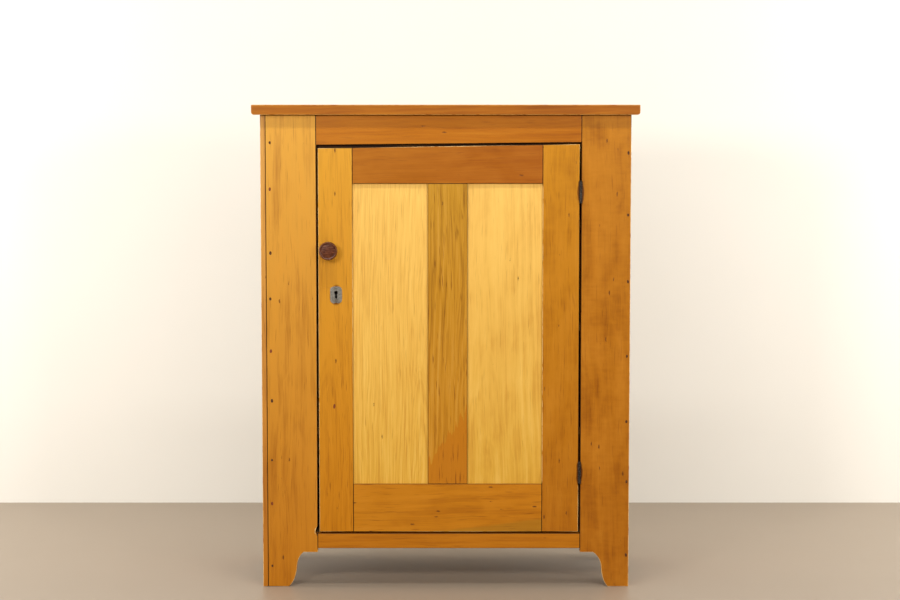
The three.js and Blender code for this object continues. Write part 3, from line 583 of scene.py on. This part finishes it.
# Straight-grained maple, stained orange-brown.
top_rail_finish = wood(
    "orange_maple_top_rail", "top_front_rail", ("#B06808", "#A86004"), along="x", seed=3.4,
    rings=0.4, ring_gap=9, streak_width=10, fibres=0.35, flecks=0.2, knocks=0.4,
)
bottom_rail_finish = wood(
    "orange_maple_bottom_rail", "bottom_front_rail", ("#B46C0C", "#B46C0C"), along="x", seed=5.2,
    rings=0.4, streak_width=8, fibres=0.35, flecks=0.3, knocks=0.6,
)
top_board_finish = wood(
    "orange_maple_top_board", "top_board", ("#A05C08", "#985408"), along="x", seed=6.6,
    rings=0.7, ring_gap=9, pith=(30, 160), streaks=0.8, streak_width=12, fibres=0.4, flecks=0.25,
    clouds=0.8, sheen=(0.46, 0.6), worn="#CC9448",
)
chip = (spot_on("left_front_stile", 1, 0.12).z, 26 * MM, 7 * MM)
eased("left_front_stile", left_stile_finish, chip=chip)
eased("right_front_stile", right_stile_finish)
eased("left_side", left_side_finish)
eased("right_side", right_side_finish)
eased("top_front_rail", top_rail_finish)
eased("bottom_front_rail", bottom_rail_finish)
eased("top_board", top_board_finish, ease=2.2 * MM)

# ---- Door -------------------------------------------------------------------------

# The lower tone of each upright door piece is the darker one: partly the wood's own colour, partly painted
# shade for the light falling off towards the floor.
lock_stile_finish = wood(
    "golden_maple_lock_stile", "door_lock_stile", ("#BC7408", "#D09428"), seed=8.8,
    ring_gap=6, pith=(10, 80), streak_width=9, fibres=0.7, flecks=0.5, clouds=0.4,
    # A dark ring round the keyhole plate.
    knocks=0.2, dirt_and_shadow_marks=[(spot_on("escutcheon"), 15.5, 26)],
)
hinge_stile_finish = wood(
    "curly_maple_hinge_stile", "door_hinge_stile", ("#AC660A", "#BC7C10"), seed=9.1,
    rings=0.4, ring_gap=11, pith=(-30, 100), streak_width=13, fibres=0.4,
    clouds=0.9, cloud_size=55, curl=0.2, curl_gap=16, knocks=0.45, dirt_and_shadow_marks=HINGE_DIRT_AND_SHADOW,
)
door_top_rail_finish = wood(
    "orange_maple_door_top_rail", "door_top_rail", ("#A46008", "#9C5404"), along="x", seed=10.4,
    rings=0.3, streaks=0.4, streak_width=12, fibres=0.3, flecks=0.3,
    clouds=0.7, cloud_size=60, knocks=0.35,
)
# Orange maple, much knocked, with a streak of olive-brown heartwood along its lower edge.
door_bottom_rail_finish = wood(
    "amber_maple_door_bottom_rail", "door_bottom_rail", ("#BC7610", "#BC7410"), along="x", seed=11.3,
    rings=0.4, streaks=0.5, streak_width=10, fibres=0.35, clouds=0.8, cloud_size=60, knocks=0.9,
    patch=(spot_on("door_bottom_rail", 0.6, 0.12), 0.12, 10, "#9A701C", 0.5),
)
muntin_finish = wood(
    "heartwood_maple_muntin", "door_muntin", ("#BC7C18", "#B88420"), seed=12.6,
    rings=0.9, pith=(-70, 50), streaks=1.0, streak_width=8, fibres=0.7, flecks=0.7,
    dark="#8A6020", pale="#E2B055", knocks=0.25,
    patch=(spot_on("door_muntin", 0.5, 0.17), 1.3, 90, "#B87010", 0.9),
)
left_panel_finish = wood(
    "pale_ash_left_panel", "door_left_panel", ("#D8A43C", "#E8B85C"), seed=13.2,
    ring_gap=4, pith=(-90, 30), streaks=0.7, streak_width=7, fibres=1.0, flecks=0.25, clouds=0.4,
    dark="#C49A58", pale="#F8D070", paleness=0.5, knocks=0.08,
)
right_panel_finish = wood(
    "pale_maple_right_panel", "door_right_panel", ("#D4A038", "#E8B85C"), seed=14.9,
    rings=0.5, ring_gap=9, pith=(40, 70), streaks=0.7, streak_width=18, flecks=0.2,
    clouds=0.8, cloud_size=60, dark="#C49A58", pale="#F8D070", paleness=0.45, knocks=0.1,
)
eased("door_lock_stile", lock_stile_finish)
eased("door_hinge_stile", hinge_stile_finish)
eased("door_top_rail", door_top_rail_finish, ease=1.3 * MM)
eased("door_bottom_rail", door_bottom_rail_finish, ease=1.3 * MM)
eased("door_muntin", muntin_finish, ease=1.3 * MM)
eased("door_left_panel", left_panel_finish, ease=0.6 * MM)
eased("door_right_panel", right_panel_finish, ease=0.6 * MM)

# ---- Inside of the case, and the back ---------------------------------------------

# Bare pine, gone tan with age and never finished, so it has no gloss.
for index, shelf in enumerate(["bottom_shelf", "lower_shelf", "middle_shelf", "upper_shelf"]):
    bare_pine = wood(
        "bare_pine_" + shelf, shelf, ("#B98F58", "#C39A62", "#BD935B"), along="x", seed=20.0 + index,
        rings=1.2, ring_gap=8, pith=(40, 110), streaks=0.7, fibres=0.5, flecks=0.3, clouds=0.6,
        sheen=(0.62, 0.78), coat=0.0, worn="#D8B98A",
    )
    eased(shelf, bare_pine, ease=1.0 * MM)
    for side in ("left", "right"):
        cleat = f"{side}_{shelf}_cleat"
        cleat_pine = wood(
            "bare_pine_" + cleat, cleat, ("#B08650", "#B98F58"), along="y", seed=26.0 + index,
            rings=1.0, ring_gap=6, streaks=0.6, clouds=0.4, sheen=(0.62, 0.78), coat=0.0, worn="#D0AE7C",
        )
        eased(cleat, cleat_pine, ease=0.8 * MM)
for node, along in [
    ("left_top_cleat", "y"), ("right_top_cleat", "y"), ("left_corner_post", "z"),
    ("upper_door_stop", "x"), ("lower_door_stop", "x"), ("latch_finger", "z"), ("latch_peg", "x"),
]:
    # The stops close the gap round the door; they are coloured nearly black as painted shade, so that the
    # gap reads dark.
    pine_and_gap_shade_tones = ("#2C1C10", "#342214") if node.endswith("door_stop") else ("#B08650", "#BD935B")
    strip_pine = wood(
        "bare_pine_" + node, node, pine_and_gap_shade_tones, along=along, seed=31.0 + len(node) / 3,
        rings=1.0, ring_gap=6, streaks=0.6, clouds=0.4, sheen=(0.6, 0.76), coat=0.0, worn="#D0AE7C",
    )
    eased(node, strip_pine, ease=(0.4 if node == "latch_peg" else 0.8) * MM)
# Rough pine boards, darkest of all, with the marks of the saw.
for index in range(1, 6):
    node = f"back_board_{index}"
    back_pine = wood(
        "sawn_pine_" + node, node, ("#8E6A3E", "#A8834F", "#9C7746"), seed=40.0 + index * 1.7,
        rings=1.5, ring_gap=9, pith=(index * 22 - 70, 70), streaks=0.8, streak_width=16,
        fibres=0.7, flecks=0.5, clouds=1.0, cloud_size=120, curl=0.35, curl_gap=5,
        dark="#86602F", sheen=(0.7, 0.85), coat=0.0, worn="#C6A473",
    )
    eased(node, back_pine, ease=1.0 * MM)

# ---- Metal ------------------------------------------------------------------------

# Cast iron butts: near black, with brown rust bloom and knuckles rubbed bright.
hinge_iron = old_metal(
    "cast_iron_hinges", "#585048", "#14100E", "#2C1A10", roughness=(0.42, 0.66),
)
# Nickel-plated steel plate that has tarnished to a mottled grey.
plate_metal = old_metal(
    "tarnished_nickel_plate", "#A8A49A", "#76726A", "#4A3C2C", grain_size=4.0, roughness=(0.35, 0.5),
)
# Pressed iron, oiled once and now dull brown-grey.
lock_iron = old_metal("pressed_iron_lock", "#7A736B", "#2E2926", "#4A2E1C", grain_size=2.5)
# Cut nails with a skin of brown rust, so they hardly shine.
nail_iron = old_metal(
    "cut_nail_iron", "#7A5238", "#4A2C1A", "#5C3018", grain_size=1.0, roughness=(0.6, 0.8),
)

for place in ("upper", "lower"):
    for part in ("frame_leaf", "door_leaf"):
        eased(f"{place}_hinge_{part}", hinge_iron, ease=0.35 * MM)
    for part in ("pin", "frame_screw_1", "frame_screw_2", "door_screw_1", "door_screw_2"):
        eased(f"{place}_hinge_{part}", hinge_iron, ease=0.25 * MM)
eased("escutcheon", plate_metal, ease=0.35 * MM)
for part in ("upper", "lower"):
    eased(f"escutcheon_{part}_pin", plate_metal, ease=0.15 * MM)
eased("lock_case", lock_iron, ease=0.5 * MM)
eased("lock_bolt", lock_iron, ease=0.4 * MM)

# ---- Knob -------------------------------------------------------------------------


def mushroom_knob():
    """The knob's head is dished inside a raised ring, on a waisted neck with a flange against the
    door. Its shank goes through the stile and ends in a square that carries the latch finger."""
    low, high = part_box("knob")
    head_radius = (high.x - low.x) / 2
    centre = Vector(((low.x + high.x) / 2, low.y, (low.z + high.z) / 2))
    # Depths are behind the knob's front.
    back = high.y - low.y
    shank_start = FRONT - low.y - 0.5 * MM
    finger_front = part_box("latch_finger")[0].y - low.y
    shank_end = finger_front - 0.6 * MM
    shank_radius = 7 * MM
    square_side = 11 * MM
    # (share of the head's radius, depth in millimetres)
    head = [
        (0.0, 1.3), (0.25, 1.3), (0.5, 1.5), (0.68, 1.9), (0.76, 2.1), (0.80, 1.9), (0.83, 1.1),
        (0.855, 0.3), (0.88, 0.0), (0.91, 0.15), (0.94, 0.9), (0.965, 2.2), (0.985, 4.2), (1.0, 6.4),
        (0.99, 8.4), (0.95, 10.4), (0.87, 12.6), (0.74, 15.0), (0.60, 17.6), (0.49, 20.6),
        (0.43, 24.0), (0.41, 28.0), (0.43, 31.0), (0.49, 33.6), (0.55, 35.2), (0.56, 36.4), (0.55, 37.5),
    ]
    profile = [(share * head_radius, depth * MM) for share, depth in head]
    profile += [(shank_radius, shank_start), (shank_radius, shank_end), (0.0, shank_end)]
    bm = bmesh.new()
    line = [bm.verts.new((centre.x + radius, centre.y + depth, centre.z)) for radius, depth in profile]
    edges = [bm.edges.new(pair) for pair in zip(line, line[1:])]
    bmesh.ops.spin(
        bm, geom=line + edges, cent=centre, axis=(0, 1, 0), angle=2 * math.pi, steps=56, use_merge=True,
    )
    bmesh.ops.remove_doubles(bm, verts=bm.verts, dist=MERGED)
    bmesh.ops.dissolve_degenerate(bm, edges=bm.edges, dist=0.005 * MM)
    square = bmesh.ops.create_cube(bm, size=1.0)["verts"]
    square_length = back - finger_front + 1.2 * MM
    bmesh.ops.scale(bm, verts=square, vec=(square_side, square_length, square_side))
    bmesh.ops.translate(bm, verts=square, vec=centre + Vector((0, back - square_length / 2, 0)))
    corners = list(dict.fromkeys(edge for vert in square for edge in vert.link_edges))
    bmesh.ops.bevel(bm, geom=corners, offset=0.7 * MM, segments=2, profile=0.5, affect="EDGES", material=-1)
    bmesh.ops.recalc_face_normals(bm, faces=bm.faces)
    in_order(bm)
    walnut = turned_walnut("turned_walnut_knob", "knob")
    return finished(bm, "turned_knob", walnut, "turn_latch", ["knob"])


mushroom_knob()

# ---- Nails and plugs --------------------------------------------------------------


def heads(name, material, body, places, proud):
    """Nail heads or plugs, each a low dome with an eased rim: (place, half width, half height,
    lean), in millimetres and degrees. They stand proud of the wood by some millimetres."""
    bm = bmesh.new()
    for spot, half_width, half_height, lean in places:
        ring = bmesh.ops.create_circle(bm, cap_ends=True, segments=14, radius=1.0)["verts"]
        base = ring[0].link_faces[0]
        lifted = bmesh.ops.extrude_face_region(bm, geom=[base])["geom"]
        top = [item for item in lifted if isinstance(item, bmesh.types.BMFace)]
        cap = list(top[0].verts)
        bmesh.ops.translate(bm, verts=cap, vec=(0, 0, 1.0))
        inner = bmesh.ops.inset_region(bm, faces=top, thickness=0.3)["faces"]
        dome = list(top[0].verts)
        bmesh.ops.translate(bm, verts=dome, vec=(0, 0, 0.5))
        rim = [vert for face in inner for vert in face.verts]
        verts = list(dict.fromkeys(ring + cap + dome + rim))
        bmesh.ops.scale(bm, verts=verts, vec=(half_width * MM, half_height * MM, proud * MM))
        placed = Matrix.Translation((spot.x, FRONT, spot.z))
        turned = Matrix.Rotation(math.radians(lean), 4, "Y") @ Matrix.Rotation(math.pi / 2, 4, "X")
        bmesh.ops.transform(bm, matrix=placed @ turned, verts=verts)
    bmesh.ops.recalc_face_normals(bm, faces=bm.faces)
    in_order(bm)
    return finished(bm, name, material, body)


# Nail holes filled with red-brown putty, which stands a hair proud and has gone dark.
putty = wood(
    "red_brown_putty", "left_front_stile", ("#7A3A1C", "#7E3E20"),
    rings=0.0, streaks=0.0, fibres=0.0, flecks=0.0, clouds=1.4, cloud_size=5,
    dark="#8A5A3A", pale="#A8623A", sheen=(0.4, 0.5), worn="#8A4A28",
)


def nail_line(stile, behind, count, hand):
    """Nails through a stile into the middle of the piece behind it, about evenly spaced up the stile,
    each a little off because they were set out by eye: (place, half width, half height, lean)."""
    middle = spot_on(behind).x
    line = []
    for index in range(count):
        spot = spot_on(stile, 0.5, (index + 0.5) / count)
        spot.x = middle + hand.uniform(-1.5, 1.5) * MM
        spot.z += hand.uniform(-18, 18) * MM
        line.append((spot, hand.uniform(2.6, 3.4), hand.uniform(3.0, 5.6), hand.uniform(-8, 8)))
    return line


left_line = nail_line("left_front_stile", "left_corner_post", 9, random.Random(4))
right_line = nail_line("right_front_stile", "right_side", 7, random.Random(9))
# Every third nail on the left was punched in and its hole puttied.
PUTTY_PROUD = 0.12
NAIL_PROUD = 0.35
heads("left_stile_plugs", putty, "case", left_line[1::3], PUTTY_PROUD)
left_nails = [nail for index, nail in enumerate(left_line) if index % 3 != 1]
heads("cut_nail_heads", nail_iron, "case", left_nails + right_line, NAIL_PROUD)
lock_stile_hole = (spot_on("door_lock_stile", 0.45, 0.33), 3.2, 6.6, 8)
heads("lock_stile_plug", putty, "door", [lock_stile_hole], PUTTY_PROUD)

# ---- Floor, wall, light and camera ------------------------------------------------


def plain_paint(name, colour, roughness, grain_size):
    """Flat paint or a rubbed floor coat, with the faint unevenness of a roller or a cloth. Its
    shader isn't joined to an output yet."""
    material, tree = empty_material(name)
    here = add(tree, "ShaderNodeTexCoord").outputs["Object"]
    uneven = add(tree, "ShaderNodeTexNoise", None, {
        "Vector": here, "Scale": 1 / (grain_size * MM), "Detail": 3,
    }).outputs[0]
    tint = add(tree, "ShaderNodeMapRange", None, {"Value": uneven, "To Min": 0.0, "To Max": 0.12}).outputs[0]
    shade = add(tree, "ShaderNodeMix", {"data_type": "RGBA", "blend_type": "MULTIPLY"}, {
        "Factor": tint, 6: linear(colour), 7: linear("#E2DACC"),
    }).outputs[2]
    shader = add(tree, "ShaderNodeBsdfPrincipled", None, {"Base Color": shade, "Roughness": roughness})
    return material, tree, shader


def flat_sheet(name, corner, across, up, material):
    """A floor or wall from one corner, along two sides."""
    bm = bmesh.new()
    bmesh.ops.create_grid(bm, x_segments=1, y_segments=1, size=0.5)
    across, up = Vector(across), Vector(up)
    place = Matrix((across, up, across.cross(up))).transposed().to_4x4()
    place.translation = corner
    bmesh.ops.transform(bm, matrix=place @ Matrix.Translation((0.5, 0.5, 0)), verts=bm.verts)
    mesh = bpy.data.meshes.new(name)
    bm.to_mesh(mesh)
    bm.free()
    mesh.materials.append(material)
    sheet = bpy.data.objects.new(name, mesh)
    bpy.context.scene.collection.objects.link(sheet)


WALL = FRONT + 1.275
ROOM_WIDTH = 12
ROOM_DEPTH = 11
ROOM_HEIGHT = 5
ROOM_LEFT = -ROOM_WIDTH / 2
floor_paint, tree, shader = plain_paint("pale_floor_coat", "#9A8A77", 0.42, 180)
add(tree, "ShaderNodeOutputMaterial", None, {"Surface": shader.outputs[0]})
floor_corner = (ROOM_LEFT, WALL - ROOM_DEPTH, 0)
flat_sheet("floor", floor_corner, (ROOM_WIDTH, 0, 0), (0, ROOM_DEPTH, 0), floor_paint)

# The wall shows from its front only, so that it hides nothing from behind.
wall_paint, tree, shader = plain_paint("warm_white_wall", "#EAE6DC", 0.85, 400)
behind = add(tree, "ShaderNodeNewGeometry").outputs["Backfacing"]
clear = add(tree, "ShaderNodeBsdfTransparent")
either = add(tree, "ShaderNodeMixShader", None, {0: behind, 1: shader.outputs[0], 2: clear.outputs[0]})
add(tree, "ShaderNodeOutputMaterial", None, {"Surface": either.outputs[0]})
flat_sheet("wall", (ROOM_LEFT, WALL, 0), (ROOM_WIDTH, 0, 0), (0, 0, ROOM_HEIGHT), wall_paint)


def softbox(name, place, aim, size, watts):
    lamp = bpy.data.lights.new(name, "AREA")
    lamp.shape = "RECTANGLE"
    lamp.size, lamp.size_y = size
    lamp.energy = watts
    holder = bpy.data.objects.new(name, lamp)
    holder.location = place
    holder.rotation_euler = (Vector(aim) - Vector(place)).to_track_quat("-Z", "Y").to_euler()
    bpy.context.scene.collection.objects.link(holder)


# Two soft lamps and a wide fill from the front, and a long overhead strip whose light falls at
# about 60 degrees and draws the shadow of the top board's overhang on the rail below it. The
# others stand in for light off the ceiling, and brighten the wall.
middle = Vector((0, FRONT, 0.75))
softbox("left_softbox", (-1.4, FRONT - 2.9, 1.75), middle, (0.5, 0.5), 42)
softbox("right_softbox", (1.45, FRONT - 2.6, 1.6), middle, (0.5, 0.5), 26)
softbox("overhead_strip", (0.0, FRONT - 1.15, 3.2), middle + Vector((0, 0, 0.35)), (3.0, 0.18), 36)
softbox("front_fill", (0.0, FRONT - 4.2, 2.7), middle, (2.8, 1.4), 34)
softbox("ceiling_bounce", (0.0, FRONT + 0.75, 3.6), (0, FRONT + 0.75, 0), (3.4, 1.2), 22)
for side in (-1, 1):
    name = "left_wall_wash" if side < 0 else "right_wall_wash"
    softbox(name, (side * 2.7, FRONT + 0.1, 1.3), (side * 0.5, WALL, 0.35), (0.5, 2.0), 36)

world = bpy.data.worlds.new("studio_air")
world.use_nodes = True
world.node_tree.nodes["Background"].inputs["Color"].default_value = linear("#FFF9EE")
world.node_tree.nodes["Background"].inputs["Strength"].default_value = 0.28
bpy.context.scene.world = world
bpy.context.scene.view_settings.view_transform = "Standard"

# A long lens at the height of the cupboard's top, tipped down a little.
FOCAL_LENGTH = 88.2  # millimetres
CAMERA_ASIDE = 0.0115
CAMERA_DISTANCE = 5.95
CAMERA_HEIGHT = 1.318
TIPPED_DOWN = 5.09  # degrees
lens = bpy.data.cameras.new("long_lens")
lens.lens = FOCAL_LENGTH
lens.sensor_width = 36
camera = bpy.data.objects.new("camera", lens)
camera.location = (CAMERA_ASIDE, FRONT - CAMERA_DISTANCE, CAMERA_HEIGHT)
camera.rotation_euler = (math.radians(90 - TIPPED_DOWN), 0, 0)
bpy.context.scene.collection.objects.link(camera)
bpy.context.scene.camera = camera
